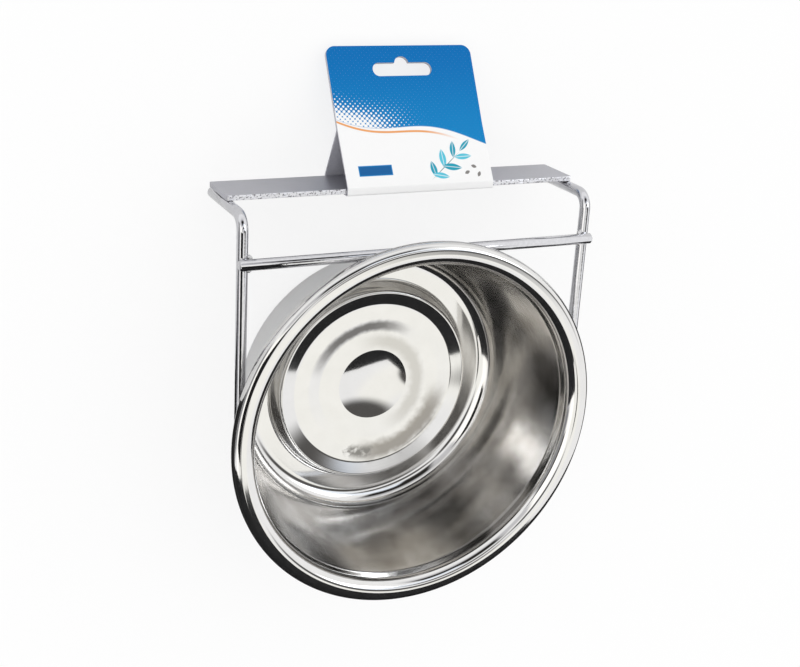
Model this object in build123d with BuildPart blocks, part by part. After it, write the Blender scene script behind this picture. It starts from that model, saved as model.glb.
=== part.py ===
from build123d import *
from math import asin, cos, degrees, radians, sin
import os

# Seed cup in a wire hanger, in millimetres, as it hangs on a cage: +Z up, +Y out of the cage.
# The origin is on the hook: mid width, on the inner face of the hook plate, under the legs.

# Cup, drawn from one sheet
rim_diameter = 80.0
sheet = 0.5
neck_height = 3.4
cup_depth = 26.8
base_radius = 29.7
base_corner_radius = 4.0
neck_fold_radius = 3.0

# Rolled lip with a flat top; heights from the plane that the cup's depth is measured from
lip_width = 4.8
lip_top = 1.1
lip_fall = 0.15
lip_drop = 2.4
lip_inner_radius = 2.2
lip_outer_radius = 1.0
lip_under_radius = 2.0
hem_run = 1.1

# Pressing in the base: runs inward from the base's corner, heights above the floor of the foot groove
foot_width = 6.5
groove_fold_radius = 0.8
crest_run = 1.3
crest_height = 3.8
crest_fold_radius = 0.6
bevel_run = 3.2
disc_height = 2.9
disc_fold_radius = 2.0
collar_radius = 12.7
collar_drop = 0.2
dimple_radius = 8.05
dimple_depth = 0.8

# Hanger wire and cross bar
wire_diameter = 2.2
cradle_play = 0.45
seat_gap = 0.1
cage_gap = 6.8
hook_drop = 18.7
hook_bend_radius = 3.0
weld_sink = 0.7
wire_end_chamfer = 0.25

# Hook plate
plate_depth = 11.5
plate_thickness = 1.0
plate_end_inset = 0.4
plate_corner_radius = 0.4

# Weld fillets
weld_gap = 0.03
bar_weld_leg = 1.2
plate_weld_root = 0.45
plate_weld_reach = 0.2
plate_weld_inset = 1.5
plate_weld_length = 3.0

# Header card
card_thickness = 0.35
card_gap = 0.1
card_width = 32.3
card_shift = 2.65
card_lower_height = 12.0
card_upper_height = 17.3
card_lower_lean = 32.4
card_upper_lean = 29.1
card_corner_radius = 2.0
slot_width = 13.1
slot_height = 2.8
slot_from_top = 5.0
slot_bump_radius = 1.6
slot_bump_rise = 1.1

# Sizes that follow from the ones above
wire_radius = wire_diameter / 2
rim_radius = rim_diameter / 2
lip_centre_radius = rim_radius - lip_width / 2
neck_radius = rim_radius - lip_width
hem_radius = rim_radius - lip_under_radius - hem_run
neck_outer_radius = neck_radius + sheet
groove_radius = base_radius - foot_width
crest_radius = groove_radius - crest_run
disc_radius = crest_radius - bevel_run
cradle_radius = neck_outer_radius + cradle_play + wire_radius
hook_y = -wire_radius
leg_z = wire_radius
hook_end_z = leg_z - hook_drop
bar_y = hook_y - wire_radius - cage_gap - wire_radius
bar_z = leg_z + wire_diameter - weld_sink
cup_y = bar_y - cradle_radius
plate_top_z = hook_end_z + plate_depth
plate_length = 2 * (cradle_radius + wire_radius - plate_end_inset)

# The rim rests on the bar behind and on the cradle in front, so the cup leans a little forward
cup_lean = degrees(asin((bar_z - leg_z) / (2 * lip_centre_radius)))
seat_height = wire_radius + lip_drop + seat_gap
cup_z = leg_z + seat_height + (bar_z - leg_z) / 2
cup_up = Vector(0, -sin(radians(cup_lean)), cos(radians(cup_lean)))
cup_plane = Plane(origin=(0, cup_y, cup_z), x_dir=(1, 0, 0), z_dir=cup_up)
cup_section = Plane(origin=cup_plane.origin, x_dir=(1, 0, 0), z_dir=-cup_plane.y_dir)

os.makedirs("parts", exist_ok=True)

# Cup: the inside of the sheet from the axis out to the rolled lip, thickened and turned
floor_z = -cup_depth
disc_z = floor_z + disc_height
dimple_edge = (dimple_radius, disc_z - collar_drop)
dimple_sphere = (dimple_radius**2 + dimple_depth**2) / (2 * dimple_depth)

with BuildPart() as cup:
    with BuildSketch(cup_section):
        with BuildLine() as inside:
            RadiusArc((0, dimple_edge[1] - dimple_depth), dimple_edge, -dimple_sphere)
            FilletPolyline(
                dimple_edge,
                (collar_radius, disc_z),
                (disc_radius, disc_z),
                (crest_radius, floor_z + crest_height),
                (groove_radius, floor_z),
                (base_radius, floor_z),
                (neck_radius, -neck_height),
                (neck_radius, lip_top),
                (rim_radius, lip_top - lip_fall),
                (rim_radius, -lip_drop),
                (hem_radius, -lip_drop),
                radius=[
                    disc_fold_radius,
                    disc_fold_radius,
                    crest_fold_radius,
                    groove_fold_radius,
                    base_corner_radius,
                    neck_fold_radius,
                    lip_inner_radius,
                    lip_outer_radius,
                    lip_under_radius,
                ],
            )
            offset(inside.wire(), amount=sheet, side=Side.RIGHT)
        make_face()
    revolve(axis=Axis(cup_plane.origin, cup_up))
cup.part.label = "cup"
export_step(cup.part, "parts/cup.step")

# Hanger wire: hook, leg, half-circle cradle, leg, hook
with BuildPart() as hanger_wire:
    with BuildLine() as wire_path:
        left_hook = Line(
            (-cradle_radius, hook_y, hook_end_z),
            (-cradle_radius, hook_y, leg_z - hook_bend_radius),
        )
        left_bend = TangentArc(
            left_hook @ 1,
            (-cradle_radius, hook_y - hook_bend_radius, leg_z),
            tangent=left_hook % 1,
        )
        left_leg = Line(left_bend @ 1, (-cradle_radius, cup_y, leg_z))
        cradle = TangentArc(left_leg @ 1, (cradle_radius, cup_y, leg_z), tangent=left_leg % 1)
        right_leg = Line(cradle @ 1, (cradle_radius, hook_y - hook_bend_radius, leg_z))
        right_bend = TangentArc(
            right_leg @ 1,
            (cradle_radius, hook_y, leg_z - hook_bend_radius),
            tangent=right_leg % 1,
        )
        Line(right_bend @ 1, (cradle_radius, hook_y, hook_end_z))
    with BuildSketch(Plane(origin=left_hook @ 0, z_dir=left_hook % 0)):
        Circle(wire_radius)
    sweep()
    chamfer(hanger_wire.faces().group_by(Axis.Z)[0].edges(), wire_end_chamfer)
hanger_wire.part.label = "hanger_wire"
export_step(hanger_wire.part, "parts/hanger_wire.step")

# Cross bar, sunk a little into the legs that it is welded to
with BuildPart() as cross_bar:
    with BuildSketch(Plane.YZ.offset(-cradle_radius - wire_radius)):
        with Locations((bar_y, bar_z)):
            Circle(wire_radius)
    extrude(amount=2 * (cradle_radius + wire_radius))
    chamfer(cross_bar.faces().filter_by(Axis.X).edges(), wire_end_chamfer)
    add(hanger_wire.part, mode=Mode.SUBTRACT)
cross_bar.part.label = "cross_bar"
export_step(cross_bar.part, "parts/cross_bar.step")

# Hook plate across the turned-down ends
with BuildPart() as hook_plate:
    with BuildSketch(Plane.XZ):
        with Locations((0, plate_top_z - plate_depth / 2)):
            RectangleRounded(plate_length, plate_depth, plate_corner_radius)
    extrude(amount=-plate_thickness)
hook_plate.part.label = "hook_plate"
export_step(hook_plate.part, "parts/hook_plate.step")

# Fillets in the inner corners of each crossing of bar and leg
weld_corner = (wire_radius**2 - ((bar_z - leg_z) / 2) ** 2) ** 0.5

with BuildPart() as bar_welds:
    with BuildSketch(Plane.XY.offset(leg_z)):
        for side in (-1, 1):
            for along in (-1, 1):
                corner_x = side * (cradle_radius - weld_corner)
                corner_y = bar_y + along * weld_corner
                with BuildLine():
                    Polyline(
                        (corner_x, corner_y),
                        (corner_x - side * bar_weld_leg, corner_y),
                        (corner_x, corner_y + along * bar_weld_leg),
                        close=True,
                    )
                make_face()
    extrude(amount=bar_z - leg_z)
    with BuildSketch(Plane.YZ):
        with Locations((bar_y, bar_z)):
            Circle(wire_radius + weld_gap)
    extrude(amount=rim_diameter, both=True, mode=Mode.SUBTRACT)
    with BuildSketch(Plane.XZ):
        with Locations((-cradle_radius, leg_z), (cradle_radius, leg_z)):
            Circle(wire_radius + weld_gap)
    extrude(amount=rim_diameter, both=True, mode=Mode.SUBTRACT)
bar_welds.part.label = "bar_welds"
export_step(bar_welds.part, "parts/bar_welds.step")

# Beads between the hook plate and the inner sides of the wire ends, near both edges of the plate
bead_starts = (
    hook_end_z + plate_weld_inset,
    plate_top_z - plate_weld_inset - plate_weld_length,
)

with BuildPart() as plate_welds:
    for start in bead_starts:
        with BuildSketch(Plane.XY.offset(start)):
            for side in (-1, 1):
                root_x = side * (cradle_radius - plate_weld_root)
                with BuildLine():
                    Polyline(
                        (root_x, -weld_gap),
                        (side * (cradle_radius - wire_radius - plate_weld_reach), -weld_gap),
                        (root_x, -weld_gap - wire_radius),
                        close=True,
                    )
                make_face()
            with Locations((-cradle_radius, hook_y), (cradle_radius, hook_y)):
                Circle(wire_radius + weld_gap, mode=Mode.SUBTRACT)
        extrude(amount=plate_weld_length)
plate_welds.part.label = "plate_welds"
export_step(plate_welds.part, "parts/plate_welds.step")

# Header card: a loop round the hook plate, and the two panels joined above it as one flap
lower_lean = radians(card_lower_lean)
upper_lean = radians(card_upper_lean)
fold_y = plate_thickness + card_gap
fold_top_z = plate_top_z + card_gap
fold_bottom_z = hook_end_z - card_gap
join_y = fold_y + card_lower_height * cos(lower_lean)
join_z = fold_top_z - card_lower_height * sin(lower_lean)
card_left = card_shift - card_width / 2
flap_plane = Plane(
    origin=(card_shift, join_y, join_z),
    x_dir=(1, 0, 0),
    z_dir=(0, sin(upper_lean), cos(upper_lean)),
)

with BuildPart() as header_card:
    with BuildSketch(Plane.YZ.offset(card_left)):
        with BuildLine():
            Polyline(
                (-card_gap, fold_top_z),
                (fold_y, fold_top_z),
                (join_y, join_z),
                (fold_y, fold_bottom_z),
                (-card_gap, fold_bottom_z),
                close=True,
            )
        inner_loop = make_face()
        offset(amount=card_thickness)
        add(inner_loop, mode=Mode.SUBTRACT)
    extrude(amount=card_width)
    with BuildSketch(flap_plane.offset(-card_thickness)) as flap:
        with Locations((0, card_upper_height / 2)):
            Rectangle(card_width, card_upper_height)
        fillet(flap.vertices().group_by(Axis.Y)[-1], card_corner_radius)
        with Locations((0, card_upper_height - slot_from_top)):
            SlotOverall(slot_width, slot_height, mode=Mode.SUBTRACT)
        with Locations((0, card_upper_height - slot_from_top + slot_bump_rise)):
            Circle(slot_bump_radius, mode=Mode.SUBTRACT)
    extrude(amount=2 * card_thickness)
header_card.part.label = "header_card"
export_step(header_card.part, "parts/header_card.step")
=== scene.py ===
import math
import bpy
import bmesh
from mathutils import Euler, Matrix, Vector, noise


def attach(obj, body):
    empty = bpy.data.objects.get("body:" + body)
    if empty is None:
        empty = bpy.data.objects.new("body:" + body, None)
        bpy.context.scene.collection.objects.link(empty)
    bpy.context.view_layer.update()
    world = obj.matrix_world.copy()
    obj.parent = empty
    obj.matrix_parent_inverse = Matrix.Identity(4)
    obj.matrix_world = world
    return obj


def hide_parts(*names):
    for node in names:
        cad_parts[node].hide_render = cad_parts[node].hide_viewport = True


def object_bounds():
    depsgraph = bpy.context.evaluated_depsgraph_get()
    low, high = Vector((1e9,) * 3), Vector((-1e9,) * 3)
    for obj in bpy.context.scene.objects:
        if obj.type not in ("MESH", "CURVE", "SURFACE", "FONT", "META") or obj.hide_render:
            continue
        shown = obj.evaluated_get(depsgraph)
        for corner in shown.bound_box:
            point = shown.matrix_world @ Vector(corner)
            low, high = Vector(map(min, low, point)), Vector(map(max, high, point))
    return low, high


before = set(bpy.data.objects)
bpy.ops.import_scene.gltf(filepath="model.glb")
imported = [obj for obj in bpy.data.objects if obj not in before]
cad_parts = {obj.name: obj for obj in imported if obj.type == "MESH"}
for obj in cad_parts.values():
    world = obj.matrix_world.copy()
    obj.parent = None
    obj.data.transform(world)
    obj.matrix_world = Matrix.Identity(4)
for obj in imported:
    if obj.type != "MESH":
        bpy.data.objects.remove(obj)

mm = 0.001               # every size below is in millimetres until it goes into a mesh
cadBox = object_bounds()
print("frame loaded:", len(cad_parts), "nodes")


# shader graphs

class Flow:              # the output of a node, to reckon with
    def __init__(self, graph, socket):
        self.graph = graph
        self.socket = socket

    def reckon(self, operation, *terms):
        return self.graph.node("ShaderNodeMath", {"operation": operation}, dict(enumerate(terms)))["Value"]

    def __add__(self, other):
        return self.reckon("ADD", self, other)

    def __sub__(self, other):
        return self.reckon("SUBTRACT", self, other)

    def __rsub__(self, other):
        return self.reckon("SUBTRACT", other, self)

    def __mul__(self, other):
        return self.reckon("MULTIPLY", self, other)

    def __truediv__(self, other):
        return self.reckon("DIVIDE", self, other)

    def __rtruediv__(self, other):
        return self.reckon("DIVIDE", other, self)

    def __abs__(self):
        return self.reckon("ABSOLUTE", self)

    __radd__ = __add__
    __rmul__ = __mul__

    def atMost(self, other):
        return self.reckon("MINIMUM", self, other)

    def atLeast(self, other):
        return self.reckon("MAXIMUM", self, other)

    def root(self):
        return self.reckon("SQRT", self)

    def sine(self):
        return self.reckon("SINE", self)

    def fraction(self):
        return self.reckon("FRACT", self)

    def degrees(self):                               # of an angle whose cosine this is
        return self.reckon("ARCCOSINE", self) * math.degrees(1)


class Graph:
    def __init__(self, tree):
        self.tree = tree
        tree.nodes.clear()

    def node(self, kind, settings, sockets):
        made = self.tree.nodes.new(kind)
        for key, value in settings.items():
            if key == "stops":                       # a ramp's stops: (place, colour)
                ramp = made.color_ramp.elements
                while len(ramp) < len(value):
                    ramp.new(0.5)
                for stop, (place, colour) in zip(ramp, value):
                    stop.position = place
                    stop.color = (*colour, 1.0)
            else:
                setattr(made, key, value)
        inputs = [socket for socket in made.inputs if socket.enabled]
        named = {socket.name: socket for socket in inputs}
        for key, value in sockets.items():
            target = inputs[key] if isinstance(key, int) else named[key]
            if isinstance(value, Flow):
                self.tree.links.new(value.socket, target)
            else:
                target.default_value = value
        return {socket.name: Flow(self, socket) for socket in made.outputs if socket.enabled}

    def place(self):                                 # where the surface is, in millimetres
        spot = self.node("ShaderNodeTexCoord", {}, {})["Object"]
        return self.scaled(spot, (1 / mm, 1 / mm, 1 / mm))

    def parts(self, vector):
        split = self.node("ShaderNodeSeparateXYZ", {}, {"Vector": vector})
        return split["X"], split["Y"], split["Z"]

    def join(self, x, y, z):
        return self.node("ShaderNodeCombineXYZ", {}, {"X": x, "Y": y, "Z": z})["Vector"]

    def scaled(self, vector, factors):
        return self.node("ShaderNodeVectorMath", {"operation": "MULTIPLY"}, {0: vector, 1: factors})["Vector"]

    def grain(self, vector, scale, detail):
        sockets = {"Vector": vector, "Scale": scale, "Detail": detail}
        return self.node("ShaderNodeTexNoise", {}, sockets)["Fac"]

    def span(self, value, low, high):                # a smooth step from low to high
        sockets = {"Value": value, "From Min": low, "From Max": high}
        return self.node("ShaderNodeMapRange", {"interpolation_type": "SMOOTHSTEP"}, sockets)["Result"]

    def blend(self, factor, first, second):
        sockets = {"Factor": factor, "A": opaque(first), "B": opaque(second)}
        return self.node("ShaderNodeMix", {"data_type": "RGBA"}, sockets)["Result"]

    def relief(self, height):                        # height in millimetres
        return self.node("ShaderNodeBump", {}, {"Height": height, "Strength": 1.0, "Distance": mm})["Normal"]

    def finish(self, sockets):                       # one glossy or matt surface
        shader = self.node("ShaderNodeBsdfPrincipled", {}, sockets)["BSDF"]
        self.node("ShaderNodeOutputMaterial", {}, {"Surface": shader})


def opaque(colour):
    return colour if isinstance(colour, Flow) else (*colour, 1.0)


def newMaterial(name):
    made = bpy.data.materials.new(name)
    made.use_nodes = True
    return made, Graph(made.node_tree)


# mesh helpers

def arc(middle, radius, first, last, steps):         # angles in degrees, in the XY plane
    angles = [math.radians(first + (last - first) * step / steps) for step in range(steps + 1)]
    return [middle + Vector((math.cos(angle), math.sin(angle), 0)) * radius for angle in angles]


def roundedPath(corners, radii, stepDegrees, support=0.0):
    points = [corners[0]]
    for before, corner, after, radius in zip(corners, corners[1:], corners[2:], radii):
        inward = (before - corner).normalized()
        outward = (after - corner).normalized()
        half = inward.angle(outward) / 2
        reach = radius / math.tan(half)
        centre = corner + (inward + outward).normalized() * radius / math.sin(half)
        arm = corner + inward * reach - centre
        axis = arm.cross(corner + outward * reach - centre).normalized()
        turn = math.pi - 2 * half
        steps = max(2, math.ceil(math.degrees(turn) / stepDegrees))
        if support:                                  # keeps the straight runs flat to the eye
            points.append(corner + inward * (reach + support))
        for step in range(steps + 1):
            points.append(centre + Matrix.Rotation(turn * step / steps, 3, axis) @ arm)
        if support:
            points.append(corner + outward * (reach + support))
    points.append(corners[-1])
    return [point for i, point in enumerate(points) if i == 0 or (point - points[i - 1]).length > 1e-4]


def offsetLine(points, distance):                    # to the right of a line in the XY plane
    moved = []
    for i, point in enumerate(points):
        runs = []
        if i > 0:
            runs.append((point - points[i - 1]).normalized())
        if i < len(points) - 1:
            runs.append((points[i + 1] - point).normalized())
        sides = [Vector((run.y, -run.x, 0)) for run in runs]
        middle = sum(sides, Vector()).normalized()
        moved.append(point + middle * distance / middle.dot(sides[0]))
    return moved


def joinDoubles(mesh):                               # points that lie together become one
    work = bmesh.new()
    work.from_mesh(mesh)
    bmesh.ops.remove_doubles(work, verts=work.verts, dist=1e-7)
    bmesh.ops.recalc_face_normals(work, faces=work.faces)
    work.to_mesh(mesh)
    work.free()


def meshFrom(name, points, faces, materials, slots=None):
    mesh = bpy.data.meshes.new(name)
    mesh.from_pydata([tuple(point * mm) for point in points], [], faces)
    for material in materials:
        mesh.materials.append(material)
    for polygon, slot in zip(mesh.polygons, slots or []):
        polygon.material_index = slot
    joinDoubles(mesh)
    mesh.shade_smooth()
    return mesh


def standing(name, mesh):
    made = bpy.data.objects.new(name, mesh)
    bpy.context.scene.collection.objects.link(made)
    return made


def meshPiece(name, mesh, body, slotName, *nodes):
    piece = standing(name, mesh)
    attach(piece, body)
    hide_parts(*nodes)


def bridge(rings, closed):                           # quads between rings of as many points each
    count = len(rings[0])
    faces = []
    for ring in range(len(rings) - 1):
        near, far = ring * count, (ring + 1) * count
        for turn in range(count if closed else count - 1):
            beside = (turn + 1) % count
            faces.append((near + turn, near + beside, far + beside, far + turn))
    return faces


def endCaps(rings):
    count = len(rings[0])
    last = (len(rings) - 1) * count
    return [tuple(range(count)), tuple(range(last, last + count))]


def flatten(rings):
    return [point for ring in rings for point in ring]


def latheMesh(name, lines, count, placing, materials):         # lines run on from the axis back to the axis
    turns = [2 * math.pi * turn / count for turn in range(count)]
    rings, slots = [], []
    for slot, line in enumerate(lines):
        for point in line:
            ring = [Vector((point.x * math.cos(t), point.x * math.sin(t), point.y)) for t in turns]
            rings.append([placing @ corner for corner in ring])
            slots += [slot] * count
    return meshFrom(name, flatten(rings), bridge(rings, True), materials, slots[:-count])


def tubeRings(path, radii, sides):                   # rings of points along a wire
    runs = [(b - a).normalized() for a, b in zip(path, path[1:])]
    headings = [runs[0]] + [(a + b).normalized() for a, b in zip(runs, runs[1:])] + [runs[-1]]
    heading = runs[0]
    side = heading.orthogonal().normalized()
    rings = []
    for centre, radius, nextHeading in zip(path, radii, headings):
        side = heading.rotation_difference(nextHeading) @ side
        heading = nextHeading
        across = heading.cross(side)
        turns = [2 * math.pi * turn / sides for turn in range(sides)]
        rings.append([centre + (side * math.cos(t) + across * math.sin(t)) * radius for t in turns])
    return rings


def wireMesh(name, path, radius, chamfer, sides, material):
    first, last = (path[1] - path[0]).normalized(), (path[-2] - path[-1]).normalized()
    path = [path[0], path[0] + first * chamfer] + path[1:-1] + [path[-1] + last * chamfer, path[-1]]
    radii = [radius - chamfer] + [radius] * (len(path) - 2) + [radius - chamfer]
    rings = tubeRings(path, radii, sides)
    return meshFrom(name, flatten(rings), bridge(rings, True) + endCaps(rings), [material])


def carve(mesh, cutters):                            # cuts prisms out of a mesh
    block = standing("block", mesh)
    tools = [standing("cutter", cutter) for cutter in cutters]
    for tool in tools:
        cut = block.modifiers.new("cut", "BOOLEAN")
        cut.object = tool
        cut.operation = "DIFFERENCE"
        cut.solver = "EXACT"
    whole = block.evaluated_get(bpy.context.evaluated_depsgraph_get())
    carved = bpy.data.meshes.new_from_object(whole)
    for used in [block] + tools:
        bpy.data.objects.remove(used)
    joinDoubles(carved)
    return carved


# camera

viewpoint = {
    "place": (-113.72, 64.94, 228.68),
    "turn": (-21.577, -24.611, 3.465),
    "lens": 60.10,
    "sensor": 36.0,
    "clip": 5.0,
}


def makeCamera():
    lensData = bpy.data.cameras.new("photoCamera")
    lensData.lens = viewpoint["lens"]
    lensData.sensor_width = viewpoint["sensor"]
    lensData.clip_start = viewpoint["clip"] * mm
    camera = standing("photoCamera", lensData)
    camera.location = Vector(viewpoint["place"]) * mm
    camera.rotation_euler = Euler([math.radians(angle) for angle in viewpoint["turn"]])
    bpy.context.scene.camera = camera


makeCamera()
print("camera set")


# studio: a white sky for matt surfaces, and for metal a room with lamps, dark gaps and black sheets

studio = {
    "floorGap": 0.05,
    "floorReach": 4000.0,
    "floorGlow": 0.8,                                # share of the floor's white that shadow can't take
    "floorColour": (0.98, 0.98, 0.98),
    "black": (0.012, 0.012, 0.013),
    "sky": (1.0, 1.0, 1.0),
    "dome": (1.25, 1.25, 1.25),
    "cloth": {"first": 174.0, "last": 378.0, "near": 46.0, "far": 900.0, "lift": 0.02},
    "shade": {"left": -92.0, "right": -42.0, "near": -15.0, "far": -75.0, "height": 52.0},  # at the left leg
    "screenY": -175.0,
    "screenTop": [
        (-250, 0),
        (-205, 100),
        (-125, 165),
        (-53, 215),
        (-3, 186),
        (14, 205),
        (36, 213),
        (62, 146),
        (93, 146),
        (120, 142),
        (154, 124),
        (190, 90),
        (240, 0),
    ],
}

# azimuth and half width, zenith angle from and to, softness, all in degrees
roomPanels = [
    {"azimuth": 90, "half": 32, "zenith": (42, 62), "soft": 8, "colour": (0.78, 0.78, 0.8)},
    {"azimuth": 92, "half": 32, "zenith": (27, 52), "soft": 5, "colour": (0.03, 0.028, 0.025)},
    {"azimuth": 206, "half": 9, "zenith": (30, 39), "soft": 3, "colour": (5.0, 5.0, 4.9)},
    {"azimuth": 20, "half": 18, "zenith": (35, 46), "soft": 3, "colour": (7.5, 7.7, 8.0)},
    {"azimuth": 135, "half": 14, "zenith": (30, 60), "soft": 6, "colour": (0.8, 0.8, 0.82)},
    {"azimuth": 190, "half": 38, "zenith": (20, 62), "soft": 8, "colour": (1.7, 1.67, 1.6)},
    {"azimuth": 180, "half": 26, "zenith": (70, 100), "soft": 5, "colour": (0.33, 0.33, 0.34)},
    {"azimuth": 270, "half": 60, "zenith": (16, 38), "soft": 5, "colour": (1.33, 1.32, 1.26)},
    {"azimuth": 30, "half": 55, "zenith": (26, 36), "soft": 5, "colour": (1.3, 1.38, 1.5)},
]

# dark places overhead, between the lamps: ellipses on a map of zenith angles, middle, half axes and turn
ceilingGaps = [
    {"middle": (-10.0, -1.0), "half": (6.5, 14.0), "turn": 0, "soft": 0.35, "colour": (0.1, 0.095, 0.09)},
    {"middle": (3.0, -26.0), "half": (7.0, 3.5), "turn": -45, "soft": 0.35, "colour": (0.1, 0.095, 0.09)},
    {"middle": (9.0, 13.0), "half": (17.0, 5.5), "turn": 0, "soft": 0.35, "colour": (0.14, 0.135, 0.13)},
    {"middle": (29.0, -9.0), "half": (21.0, 7.5), "turn": -14, "soft": 0.35, "colour": (0.12, 0.115, 0.11)},
]


def makeWorld():
    world = bpy.data.worlds.new("studio")
    world.use_nodes = True
    bpy.context.scene.world = world
    graph = Graph(world.node_tree)
    x, y, z = graph.parts(graph.node("ShaderNodeTexCoord", {}, {})["Generated"])
    level = (x * x + y * y).root().atLeast(1e-4)
    zenith = z.degrees()
    room = studio["dome"]
    for panel in roomPanels:
        angle = math.radians(panel["azimuth"])
        facing = (x * math.cos(angle) + y * math.sin(angle)) / level
        soft = panel["soft"]
        edges = [math.cos(math.radians(panel["half"] + soft)), math.cos(math.radians(panel["half"] - soft))]
        low, high = panel["zenith"]
        mask = graph.span(facing, *edges)
        mask = mask * graph.span(zenith, low - soft, low + soft)
        mask = mask * graph.span(zenith, high + soft, high - soft)
        room = graph.blend(mask, room, panel["colour"])
    for dark in ceilingGaps:
        east = zenith * x / level - dark["middle"][0]
        north = zenith * y / level - dark["middle"][1]
        cos, sin = math.cos(math.radians(dark["turn"])), math.sin(math.radians(dark["turn"]))
        along = (east * cos + north * sin) / dark["half"][0]
        across = (north * cos - east * sin) / dark["half"][1]
        reach = (along * along + across * across).root()
        room = graph.blend(graph.span(reach, 1 + dark["soft"], 1 - dark["soft"]), room, dark["colour"])
    glossy = graph.node("ShaderNodeLightPath", {}, {})["Is Glossy Ray"]
    sockets = {"Color": graph.blend(glossy, studio["sky"], room), "Strength": 1.0}
    light = graph.node("ShaderNodeBackground", {}, sockets)["Background"]
    graph.node("ShaderNodeOutputWorld", {}, {"Surface": light})


def floorLevel():
    return cadBox[0].z / mm - studio["floorGap"]


def makeFloor():
    material, graph = newMaterial("paleFloor")
    rays = graph.node("ShaderNodeLightPath", {}, {})
    matt = graph.node("ShaderNodeBsdfDiffuse", {}, {"Color": opaque(studio["floorColour"])})["BSDF"]
    glow = graph.node("ShaderNodeEmission", {}, {"Color": opaque(studio["sky"]), "Strength": 1.0})["Emission"]
    share = rays["Is Camera Ray"] * studio["floorGlow"]
    mixed = graph.node("ShaderNodeMixShader", {}, {0: share, 1: matt, 2: glow})["Shader"]
    graph.node("ShaderNodeOutputMaterial", {}, {"Surface": mixed})
    reach = studio["floorReach"]
    corners = [(-reach, -reach), (reach, -reach), (reach, reach), (-reach, reach)]
    points = [Vector((x, y, floorLevel())) for x, y in corners]
    standing("floor", meshFrom("floor", points, [(0, 1, 2, 3)], [material]))


def forMetalOnly(name, rings):                       # black sheets that show in the metal and nowhere else
    material, graph = newMaterial(name)
    graph.finish({"Base Color": opaque(studio["black"]), "Roughness": 1.0})
    sheet = standing(name, meshFrom(name, flatten(rings), bridge(rings, False), [material]))
    sheet.visible_camera = False
    sheet.visible_diffuse = False
    sheet.visible_shadow = False
    sheet.visible_transmission = False


def makeBlacks():
    cloth = studio["cloth"]
    middle = Vector((0, cupSizes["middle"][1], floorLevel() + cloth["lift"]))
    rings = [arc(middle, cloth[edge], cloth["first"], cloth["last"], 48) for edge in ("near", "far")]
    forMetalOnly("floorCloth", rings)
    shade = studio["shade"]
    sides = [shade["left"], shade["right"]]
    rings = [[Vector((x, shade[edge], shade["height"])) for x in sides] for edge in ("near", "far")]
    forMetalOnly("wireShade", rings)
    foot = [Vector((x, studio["screenY"], floorLevel())) for x, z in studio["screenTop"]]
    head = [Vector((x, studio["screenY"], z)) for x, z in studio["screenTop"]]
    forMetalOnly("darkScreen", [foot, head])


# cup

cupSizes = {
    "rimRadius": 40.0,
    "sheet": 0.5,
    "neckHeight": 3.4,
    "lipWidth": 4.8,
    "lipTop": 1.1,
    "lipFall": 0.15,
    "lipDrop": 2.4,
    "lipInner": 2.5,
    "lipOuter": 1.5,
    "lipUnder": 1.5,
    "hemRun": 1.6,
    "depth": 26.8,
    "baseRadius": 29.7,
    "baseCorner": 4.0,
    "neckFold": 3.0,
    "grooveRadius": 23.2,
    "grooveFold": 0.8,
    "crestRadius": 21.9,
    "crestHeight": 3.8,
    "crestFold": 0.6,
    "discRadius": 18.7,
    "discHeight": 2.9,
    "discFold": 2.0,
    "collarRadius": 12.7,
    "collarDrop": 0.22,
    "collarFold": 1.2,
    "collarStep": 0.22,                               # a soft rise outside the collar
    "collarRun": 2.6,
    "plainFold": 7.0,
    "dimpleRadius": 8.05,
    "dimpleDepth": 0.8,
    "dimpleFold": 0.4,
    "middle": (0.0, -47.35, 5.45),
    "lean": 1.143,
    "segments": 256,
    "foldStep": 5.0,                                 # degrees
    "foldSupport": 0.12,
    "bowlSteps": 24,
    "wallFrom": (28.3, 31.0),                        # radii between which the wall's finish comes in
    "wallTo": (35.6, 34.6),
}


def cupInside():
    sizes = cupSizes
    rimRadius = sizes["rimRadius"]
    neckRadius = rimRadius - sizes["lipWidth"]
    floorHeight = -sizes["depth"]
    discHeight = floorHeight + sizes["discHeight"]
    edgeHeight = discHeight - sizes["collarDrop"]
    sphere = (sizes["dimpleRadius"] ** 2 + sizes["dimpleDepth"] ** 2) / (2 * sizes["dimpleDepth"])
    opening = math.degrees(math.asin(sizes["dimpleRadius"] / sphere))
    bowlMiddle = Vector((0, edgeHeight - sizes["dimpleDepth"] + sphere, 0))
    bowl = arc(bowlMiddle, sphere, -90, -90 + opening, sizes["bowlSteps"])
    corners = [
        (sizes["dimpleRadius"], edgeHeight),
        (sizes["collarRadius"], discHeight - sizes["collarStep"]),
        (sizes["collarRadius"] + sizes["collarRun"], discHeight),
        (sizes["discRadius"], discHeight),
        (sizes["crestRadius"], floorHeight + sizes["crestHeight"]),
        (sizes["grooveRadius"], floorHeight),
        (sizes["baseRadius"], floorHeight),
        (neckRadius, -sizes["neckHeight"]),
        (neckRadius, sizes["lipTop"]),
        (rimRadius, sizes["lipTop"] - sizes["lipFall"]),
        (rimRadius, -sizes["lipDrop"]),
        (rimRadius - sizes["lipUnder"] - sizes["hemRun"], -sizes["lipDrop"]),
    ]
    corners = [bowl[-2]] + [Vector((x, y, 0)) for x, y in corners]
    folds = ["dimpleFold", "collarFold", "plainFold", "discFold", "crestFold", "grooveFold", "baseCorner"]
    folds += ["neckFold", "lipInner", "lipOuter", "lipUnder"]
    radii = [sizes[fold] for fold in folds]
    return bowl[:-2] + roundedPath(corners, radii, sizes["foldStep"], support=sizes["foldSupport"])


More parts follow.
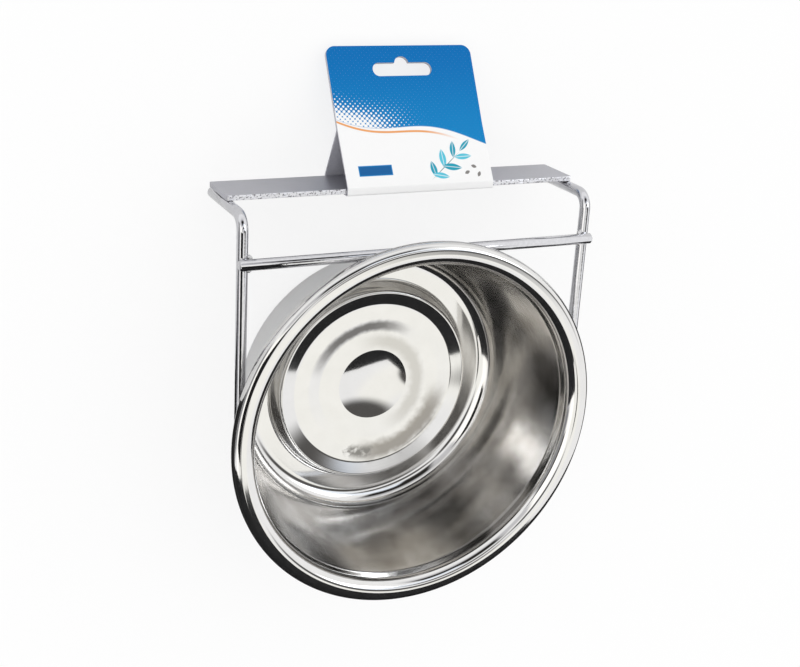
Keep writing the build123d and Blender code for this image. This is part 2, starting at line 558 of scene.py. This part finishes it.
# painted dark reflections on the base, as patches: azimuth, half width and softness in degrees, middle radius
# and reach in millimetres
paintedReflectionMarks = [
    {"azimuth": 20, "half": 75, "soft": 25, "radius": 10.6, "reach": 2.4, "colour": (0.5, 0.49, 0.47)},
    {"azimuth": 110, "half": 36, "soft": 22, "radius": 14.3, "reach": 1.7, "colour": (0.15, 0.145, 0.14)},
    {"azimuth": 305, "half": 40, "soft": 15, "radius": 15.9, "reach": 3.2, "colour": (0.28, 0.265, 0.245)},
    {"azimuth": 262, "half": 8, "soft": 5, "radius": 15.8, "reach": 2.1, "colour": (0.2, 0.195, 0.185)},
]


# blurs the edges of the painted dark reflections on the base
paintedMarkBlur = {"turn": 0.12, "reach": 0.6}


def cupMaps(graph):
    spot = graph.place()
    x, y, z = graph.parts(spot)
    y = y - cupSizes["middle"][1]
    radius = (x * x + y * y).root()
    turn = graph.node("ShaderNodeMath", {"operation": "ARCTAN2"}, {0: y, 1: x})["Value"]
    lines = graph.grain(graph.join(radius * 3.0, z * 3.0, turn * 1.2), 1.0, 3.0)       # left by polishing
    return spot, radius, lines


# darkens the base colour in patches: painted dark reflections on the polished base
def withPaintedReflections(graph, spot, radius, colour):
    x, y = graph.parts(spot)[:2]
    y = y - cupSizes["middle"][1]
    blur = graph.grain(spot, 0.5, 3.0) - 0.5
    for paintedMark in paintedReflectionMarks:
        angle = math.radians(paintedMark["azimuth"])
        facing = (x * math.cos(angle) + y * math.sin(angle)) / radius.atLeast(0.1) + blur * paintedMarkBlur["turn"]
        edges = [math.cos(math.radians(paintedMark["half"] + side * paintedMark["soft"])) for side in (1, -1)]
        off = abs(radius - paintedMark["radius"]) / paintedMark["reach"] + blur * paintedMarkBlur["reach"]
        colour = graph.blend(graph.span(facing, *edges) * graph.span(off, 1.0, 0.2), colour, paintedMark["colour"])
    return colour


def polishedSteel():
    material, graph = newMaterial("polishedSteel")
    spot, radius, lines = cupMaps(graph)
    sway = graph.grain(spot, 0.12, 1.0)                                             # uneven sheet
    smudges = graph.grain(spot, 0.25, 3.0)
    wall = graph.span(radius, *cupSizes["wallFrom"]) * graph.span(radius, *cupSizes["wallTo"])
    plain = graph.blend(smudges, (0.62, 0.614, 0.603), (0.68, 0.675, 0.67))
    worn = graph.blend(graph.span(smudges, 0.3, 0.7), (0.5, 0.482, 0.457), (0.6, 0.588, 0.57))
    graph.finish({
        "Base Color": withPaintedReflections(graph, spot, radius, graph.blend(wall, plain, worn)),
        "Metallic": 1.0,
        "Roughness": 0.045 + lines * 0.04 + wall * (0.07 + smudges * 0.06),
        "Normal": graph.relief(sway * 0.009 + lines * 0.0006),
    })
    return material


def satinSteel():
    material, graph = newMaterial("satinSteel")
    spot, _, lines = cupMaps(graph)
    dulled = graph.grain(spot, 0.2, 3.0)
    graph.finish({
        "Base Color": graph.blend(dulled, (0.74, 0.74, 0.74), (0.82, 0.82, 0.82)),
        "Metallic": 1.0,
        "Roughness": 0.24 + lines * 0.1 + dulled * 0.08,
        "Normal": graph.relief(lines * 0.002),
    })
    return material


def makeCup():
    inside = cupInside()
    outside = offsetLine(inside, cupSizes["sheet"])
    inside[0].x = outside[0].x = 0.0
    placing = Matrix.Translation(cupSizes["middle"]) @ Matrix.Rotation(math.radians(cupSizes["lean"]), 4, "X")
    finishes = [polishedSteel(), satinSteel()]
    mesh = latheMesh("cup", [inside, outside[::-1]], cupSizes["segments"], placing, finishes)
    meshPiece("steelCup", mesh, "cup", "polished_steel", "cup")


makeWorld()
makeFloor()
makeBlacks()
bpy.context.scene.view_settings.view_transform = "Standard"
print("studio set")
makeCup()
print("cup made")


# wire hanger

hangerSizes = {
    "wireRadius": 1.1,
    "halfWidth": 37.25,
    "hookY": -1.1,
    "legZ": 1.1,
    "endZ": -17.6,
    "bend": 3.0,
    "cupY": -47.35,
    "barY": -10.1,
    "barZ": 2.6,
    "chamfer": 0.25,
    "sides": 32,
}


def chromedWire():
    material, graph = newMaterial("chromedWire")
    spot = graph.place()
    lumps = graph.grain(spot, 0.7, 2.0)
    dulled = graph.grain(spot, 1.6, 3.0)
    graph.finish({
        "Base Color": graph.blend(dulled, (0.5, 0.5, 0.52), (0.64, 0.64, 0.66)),
        "Metallic": 1.0,
        "Roughness": 0.03 + dulled * 0.06,
        "Normal": graph.relief(lumps * 0.02),
    })
    return material


def makeHanger():
    sizes = hangerSizes
    chrome = chromedWire()
    half, hookY, legZ, endZ = sizes["halfWidth"], sizes["hookY"], sizes["legZ"], sizes["endZ"]
    front = sizes["cupY"] - half
    corners = [
        (-half, hookY, endZ),
        (-half, hookY, legZ),
        (-half, front, legZ),
        (half, front, legZ),
        (half, hookY, legZ),
        (half, hookY, endZ),
    ]
    bends = [sizes["bend"], half, half, sizes["bend"]]
    path = roundedPath([Vector(corner) for corner in corners], bends, 4.0)
    wire = [sizes["wireRadius"], sizes["chamfer"], sizes["sides"], chrome]
    meshPiece("bentWire", wireMesh("hangerWire", path, *wire), "hanger", "chromed_wire", "hanger_wire")
    reach = half + sizes["wireRadius"]
    bar = [Vector((x, sizes["barY"], sizes["barZ"])) for x in (-reach, 0.0, reach)]
    meshPiece("barWire", wireMesh("crossBar", bar, *wire), "hanger", "chromed_wire", "cross_bar")


makeHanger()
print("hanger made")


# welds: lumpy beads, squeezed out at the crossings and along the plate

weldSizes = {
    "rings": 12,
    "sides": 16,
    "roundEnds": 1.04,
    "ripple": 0.1,
    "rippleRate": 18,
    "lump": 0.16,
    "lumpRate": 1.8,
    "barRadius": 0.4,
    "barReach": 0.85,
    "plateRadius": 0.3,
    "plateIn": 0.98,                                 # from the wire's axis
    "plateY": -0.24,
    "plateStarts": (-16.1, -10.6),
    "plateLength": 3.0,
}


def weldMetal():
    material, graph = newMaterial("weldMetal")
    spot = graph.place()
    scale = graph.grain(spot, 2.4, 4.0)
    graph.finish({
        "Base Color": graph.blend(graph.span(scale, 0.4, 0.7), (0.7, 0.7, 0.71), (0.42, 0.41, 0.4)),
        "Metallic": 1.0,
        "Roughness": 0.14 + scale * 0.3,
        "Normal": graph.relief(scale * 0.12),
    })
    return material


def beadMesh(name, beads, material):                 # beads as (start, end, radius)
    sizes = weldSizes
    points, faces = [], []
    for start, end, radius in beads:
        shares = [step / sizes["rings"] for step in range(sizes["rings"] + 1)]
        path = [start.lerp(end, share) for share in shares]
        radii = []
        for share in shares:
            ends = math.sqrt(sizes["roundEnds"] - (2 * share - 1) ** 4)
            radii.append(radius * ends * (1 + sizes["ripple"] * math.sin(sizes["rippleRate"] * share)))
        rings = tubeRings(path, radii, sizes["sides"])
        for ring, centre in zip(rings, path):
            for i, point in enumerate(ring):
                swell = noise.noise(point * sizes["lumpRate"])
                ring[i] = point + (point - centre) * swell * sizes["lump"]
        first = len(points)
        points += flatten(rings)
        for face in bridge(rings, True) + endCaps(rings):
            faces.append(tuple(first + corner for corner in face))
    return meshFrom(name, points, faces, [material])


def makeWelds():
    sizes = weldSizes
    metal = weldMetal()
    half, legZ = hangerSizes["halfWidth"], hangerSizes["legZ"]
    barY, barZ, radius = hangerSizes["barY"], hangerSizes["barZ"], hangerSizes["wireRadius"]
    middleZ = (legZ + barZ) / 2
    notch = math.sqrt(radius ** 2 - (middleZ - legZ) ** 2)       # where the two wires' sides cross
    beads = []
    for side in (-1, 1):
        for along in (-1, 1):
            corner = Vector((side * (half - notch), barY + along * notch, middleZ))
            start = corner - Vector((side * sizes["barReach"], 0, 0))
            end = corner + Vector((0, along * sizes["barReach"], 0))
            beads.append((start, end, sizes["barRadius"]))
    mesh = beadMesh("barWelds", beads, metal)
    meshPiece("barBeads", mesh, "hanger", "chromed_weld", "bar_welds")
    beads = []
    for side in (-1, 1):
        for start in sizes["plateStarts"]:
            foot = Vector((side * (half - sizes["plateIn"]), sizes["plateY"], start))
            beads.append((foot, foot + Vector((0, 0, sizes["plateLength"])), sizes["plateRadius"]))
    mesh = beadMesh("plateWelds", beads, metal)
    meshPiece("plateBeads", mesh, "hanger", "chromed_weld", "plate_welds")


makeWelds()
print("welds made")


# hook plate, sheared from a strip, with a torn upper edge

plateSizes = {
    "halfLength": 37.95,
    "low": -17.6,
    "high": -6.1,
    "thickness": 1.0,
    "corner": 0.4,
    "edge": 0.1,
    "tear": 0.14,
    "tearRate": (1.3, 2.5),                          # along the strip and across its edge
    "sharp": 50,
    "stations": 300,
    "edgePoints": 5,
}


def platedStrip():
    material, graph = newMaterial("platedStrip")
    spot = graph.place()
    x, y, z = graph.parts(spot)
    drawn = graph.grain(graph.join(x * 0.12, y * 5.0, z * 5.0), 1.0, 4.0)               # along the strip
    mottle = graph.grain(spot, 1.1, 4.0)
    torn = graph.span(z, plateSizes["high"] - 0.3, plateSizes["high"] - 0.12)
    pits = torn * graph.span(graph.grain(spot, 2.6, 3.0), 0.52, 0.66)
    face = graph.blend(drawn * 0.6 + mottle * 0.4, (0.4, 0.4, 0.43), (0.57, 0.57, 0.61))
    edge = graph.blend(pits, (0.8, 0.8, 0.83), (0.2, 0.2, 0.22))
    graph.finish({
        "Base Color": graph.blend(torn, face, edge),
        "Metallic": 1.0,
        "Roughness": 0.3 + drawn * 0.12 + mottle * 0.1,
        "Normal": graph.relief(drawn * 0.006 + mottle * 0.01 + pits * 0.06),
    })
    return material


def makePlate():
    sizes = plateSizes
    low, high, thick, half = sizes["low"], sizes["high"], sizes["thickness"], sizes["halfLength"]
    corners = [(thick / 2, low), (thick, low), (thick, high), (0, high), (0, low), (thick / 2, low)]
    corners = [Vector((x, y, 0)) for x, y in corners]
    outline = roundedPath(corners, [sizes["edge"]] * 4, 30.0, support=0.06)[:-1]
    section = []
    for point, following in zip(outline, outline[1:] + outline[:1]):
        section.append(point)
        if point.y == following.y == high and (following - point).length > 2 * sizes["edge"]:
            count = sizes["edgePoints"]
            section += [point.lerp(following, (i + 1) / (count + 1)) for i in range(count)]
    rings = []
    for station in range(sizes["stations"] + 1):
        x = -half + 2 * half * station / sizes["stations"]
        fromEnd = min(sizes["corner"], half - abs(x))
        inset = sizes["corner"] - math.sqrt(sizes["corner"] ** 2 - (sizes["corner"] - fromEnd) ** 2)
        ring = []
        for point in section:
            height = min(max(point.y, low + inset), high - inset)
            if point.y > high - 2 * sizes["edge"]:
                spot = Vector((x * sizes["tearRate"][0], point.x * sizes["tearRate"][1], 0))
                height -= sizes["tear"] * (0.5 + 0.5 * noise.noise(spot))
            ring.append(Vector((x, point.x, height)))
        rings.append(ring)
    mesh = meshFrom("hookPlate", flatten(rings), bridge(rings, True) + endCaps(rings), [platedStrip()])
    mesh.set_sharp_from_angle(angle=math.radians(sizes["sharp"]))
    meshPiece("hookStrip", mesh, "hanger", "plated_strip", "hook_plate")


makePlate()
print("plate made")


# folded card

cardSizes = {
    "left": -13.5,
    "right": 18.8,
    "thickness": 0.35,
    "layerGap": 0.015,
    "backY": -0.1,
    "foldY": 1.1,
    "topZ": -6.0,
    "bottomZ": -17.7,
    "lower": 12.0,
    "lowerLean": 32.4,
    "upper": 17.3,
    "upperLean": 29.1,
    "crease": 1.5,
    "plateFold": 0.15,
    "joinFold": 1.0,
    "corner": 2.0,
    "slotHalf": 6.55,
    "slotRadius": 1.4,
    "slotFromTop": 5.0,
    "bumpRadius": 1.6,
    "bumpRise": 1.1,
    "punchReach": 2.0,                               # of the cutters, through the flap and past its edges
    "punchPast": 0.5,
    "sharp": 25,
}

# what is printed: a blue field over white, with a wave between them, dots, a line, leaves and a bar
printSizes = {
    "lean": 30.5,
    "waveLevel": 11.6,
    "waveFall": 0.2,
    "waveSwell": 1.3,
    "wavePitch": 0.19,
    "fieldFade": (30.0, 8.0),
    "inkEdge": 0.12,
    "dotPitch": 1.05,
    "dotFade": 7.5,
    "dotSides": (4.0, -12.0),
    "dotSize": 0.55,
    "dotEdge": 0.07,
    "lineDrop": 1.0,
    "lineTilt": 0.035,
    "lineEdges": (0.3, 0.12),
    "lineSides": (11.0, 2.0),
    "bar": {"middle": (-9.6, 3.3), "half": (3.7, 1.15), "border": 0.22},
}

# middle across and up the card, turn in degrees, half length, half width, tint
sprig = [
    (6.0, 3.6, 38, 5.4, 0.16, "stem"),
    (3.2, 3.0, 100, 1.9, 0.75, "deep"),
    (4.6, 1.6, -12, 2.0, 0.7, "light"),
    (5.6, 5.2, 92, 2.1, 0.8, "light"),
    (7.4, 3.3, -8, 2.3, 0.8, "deep"),
    (8.2, 7.0, 84, 1.9, 0.7, "deep"),
    (10.2, 5.4, 2, 2.1, 0.7, "light"),
    (11.0, 7.8, 42, 1.9, 0.6, "deep"),
    (10.6, 2.0, 24, 0.7, 0.42, "seed"),
    (12.3, 3.2, -20, 0.7, 0.42, "seed"),
    (13.2, 1.5, 60, 0.7, 0.42, "seed"),
]

inks = {
    "paper": (0.96, 0.96, 0.96),
    "blueDeep": (0.0, 0.155, 0.47),
    "blueLight": (0.005, 0.23, 0.56),
    "line": (0.85, 0.36, 0.12),
    "bar": (0.012, 0.12, 0.34),
    "stem": (0.16, 0.3, 0.32),
    "deep": (0.02, 0.36, 0.5),
    "light": (0.11, 0.58, 0.74),
    "seed": (0.24, 0.23, 0.22),
    # the card's inner side: the board's own grey, darkened and tinted with painted shade
    "shadedBoard": (0.47, 0.47, 0.52),
    "shadedBoardPale": (0.6, 0.6, 0.64),
}


def cardPaper(graph, spot, colour):                  # printed or bare board with a fine tooth
    tooth = graph.grain(spot, 4.5, 3.0)
    graph.finish({
        "Base Color": colour,
        "Roughness": 0.42 + tooth * 0.2,
        "Specular IOR Level": 0.12,
        "Normal": graph.relief(tooth * 0.004),
    })


def cardMaps(graph, spot):                           # across the card and up it from the plate
    x, y, z = graph.parts(spot)
    lean = math.radians(printSizes["lean"])
    across = x - (cardSizes["left"] + cardSizes["right"]) / 2
    up = (y - cardSizes["foldY"]) * math.cos(lean) - (z - cardSizes["topZ"]) * math.sin(lean)
    return across, up


def fieldAndWave(graph, across, up):
    wave = printSizes["waveLevel"] - across * printSizes["waveFall"]
    wave = wave + (across * printSizes["wavePitch"] + 0.5).sine() * printSizes["waveSwell"]
    over = up - wave
    mottle = graph.grain(graph.join(across, up, 0.0), 1.2, 4.0)
    fade = graph.span(up, *printSizes["fieldFade"]) + mottle * 0.2 - 0.1
    blue = graph.blend(fade, inks["blueDeep"], inks["blueLight"])
    edge = printSizes["inkEdge"]
    return over, graph.blend(graph.span(over, -edge, edge), inks["paper"], blue)


def leafMask(graph, across, up, leaf):
    middleX, middleY, turn, length, width = leaf[:5]
    cos, sin = math.cos(math.radians(turn)), math.sin(math.radians(turn))
    east, north = across - middleX, up - middleY
    along = (east * cos + north * sin) / length
    aside = north * cos - east * sin
    return graph.span(width * (1 - along * along) - abs(aside), 0.0, 0.14), abs(aside)


def printedFront():
    material, graph = newMaterial("printedFront")
    spot = graph.place()
    across, up = cardMaps(graph, spot)
    over, colour = fieldAndWave(graph, across, up)
    pitch = printSizes["dotPitch"]
    east = ((across + up) / pitch).fraction() - 0.5
    north = ((across - up) / pitch).fraction() - 0.5
    fade = graph.span(over, printSizes["dotFade"], 0.0) * graph.span(across, *printSizes["dotSides"])
    beyond = (east * east + north * north).root() - fade * printSizes["dotSize"]
    dots = graph.span(beyond, printSizes["dotEdge"], -printSizes["dotEdge"])
    colour = graph.blend(dots * graph.span(over, 0.0, 0.1), colour, inks["paper"])
    fromLine = abs(over + printSizes["lineDrop"] + across * printSizes["lineTilt"])
    line = graph.span(fromLine, *printSizes["lineEdges"]) * graph.span(across, *printSizes["lineSides"])
    colour = graph.blend(line, colour, inks["line"])
    for leaf in sprig:
        mask, aside = leafMask(graph, across, up, leaf)
        colour = graph.blend(mask, colour, inks[leaf[5]])
        if leaf[5] in ("deep", "light"):
            vein = mask * graph.span(aside, 0.13, 0.05)
            colour = graph.blend(vein * 0.6, colour, inks["paper"])
    bar = printSizes["bar"]
    fromSide = bar["half"][0] - abs(across - bar["middle"][0])
    fromTop = bar["half"][1] - abs(up - bar["middle"][1])
    inside = fromSide.atMost(fromTop)
    colour = graph.blend(graph.span(inside, 0.0, printSizes["inkEdge"]), colour, inks["blueLight"])
    colour = graph.blend(graph.span(inside, bar["border"], bar["border"] + 0.1), colour, inks["bar"])
    cardPaper(graph, spot, colour)
    return material


def printedBack():
    material, graph = newMaterial("printedBack")
    spot = graph.place()
    across, up = cardMaps(graph, spot)
    cardPaper(graph, spot, fieldAndWave(graph, across, up)[1])
    return material


# inner side and cut edges of the card: the board's own grey with painted shade
def boardWithPaintedShade():
    material, graph = newMaterial("boardWithPaintedShade")
    spot = graph.place()
    fibres = graph.grain(spot, 1.4, 5.0)
    cardPaper(graph, spot, graph.blend(fibres, inks["shadedBoard"], inks["shadedBoardPale"]))
    return material


def flapWays():                                      # where the panels join, and the flap's direction
    sizes = cardSizes
    lower, upper = math.radians(sizes["lowerLean"]), math.radians(sizes["upperLean"])
    start = Vector((sizes["foldY"], sizes["topZ"], 0))
    join = start + Vector((math.cos(lower), -math.sin(lower), 0)) * sizes["lower"]
    return join, Vector((math.cos(upper), -math.sin(upper), 0))


def stripMesh(materials):                            # the bent strip, before it is punched
    sizes = cardSizes
    join, heading = flapWays()
    tip = join + heading * sizes["upper"]
    loop = [(sizes["foldY"], sizes["topZ"]), (sizes["backY"], sizes["topZ"])]
    loop += [(sizes["backY"], sizes["bottomZ"]), (sizes["foldY"], sizes["bottomZ"])]
    corners = [tip, join] + [Vector((x, y, 0)) for x, y in loop] + [join, tip]
    folds = [sizes["crease"]] + [sizes["plateFold"]] * 4 + [sizes["joinFold"]]
    line = roundedPath(corners, folds, 12.0)
    inner, outer = offsetLine(line, sizes["layerGap"]), offsetLine(line, sizes["thickness"])
    left, right = sizes["left"], sizes["right"]
    rails = []
    for x, side in ((left, inner), (left, outer), (right, outer), (right, inner)):
        rails.append([Vector((x, point.x, point.y)) for point in side])
    rails.append(rails[0])
    count = len(line)
    turning = next(i for i, point in enumerate(line) if point.x < 0)
    faces = bridge(rails, False)
    slots = []
    for i in range(len(faces)):
        rail, step = divmod(i, count - 1)
        slots.append((0 if step < turning else 2) if rail == 1 else 1)
    faces += [tuple(rail * count + end for rail in range(4)) for end in (0, count - 1)]
    return meshFrom("strip", flatten(rails), faces, materials, slots + [1, 1])


def prism(outline, materials):                       # a cutter through the flap
    sizes = cardSizes
    join, heading = flapWays()
    across = Vector((1, 0, 0))
    along = Vector((0, heading.x, heading.y))
    normal = across.cross(along)
    origin = Vector(((sizes["left"] + sizes["right"]) / 2, join.x, join.y))
    rings = []
    for depth in (-sizes["punchReach"], sizes["punchReach"]):
        rings.append([origin + across * point.x + along * point.y + normal * depth for point in outline])
    faces = bridge(rings, True) + endCaps(rings)
    return meshFrom("cutter", flatten(rings), faces, materials, [1] * len(faces))


def slotOutline():
    sizes = cardSizes
    height = sizes["upper"] - sizes["slotFromTop"]
    radius, bump, rise = sizes["slotRadius"], sizes["bumpRadius"], sizes["bumpRise"]
    reach = sizes["slotHalf"] - radius
    meet = math.degrees(math.asin((radius - rise) / bump))
    outline = arc(Vector((reach, height, 0)), radius, -90, 90, 16)
    outline += arc(Vector((0, height + rise, 0)), bump, meet, 180 - meet, 16)
    return outline + arc(Vector((-reach, height, 0)), radius, 90, 270, 16)


def cornerOutline(side):
    sizes = cardSizes
    halfWidth = (sizes["right"] - sizes["left"]) / 2
    radius = sizes["corner"]
    east, north = halfWidth - radius, sizes["upper"] - radius
    aside, above = halfWidth + sizes["punchPast"], sizes["upper"] + sizes["punchPast"]
    outline = arc(Vector((east, north, 0)), radius, 0, 90, 12)
    for x, y in ((east, above), (aside, above), (aside, north)):
        outline.append(Vector((x, y, 0)))
    return [Vector((side * point.x, point.y, 0)) for point in outline]


def makeCard():
    materials = [printedFront(), boardWithPaintedShade(), printedBack()]
    outlines = [slotOutline(), cornerOutline(-1), cornerOutline(1)]
    mesh = carve(stripMesh(materials), [prism(outline, materials) for outline in outlines])
    mesh.shade_smooth()
    mesh.set_sharp_from_angle(angle=math.radians(cardSizes["sharp"]))
    meshPiece("foldedCard", mesh, "card", "printed_card", "header_card")


makeCard()
print("card made")
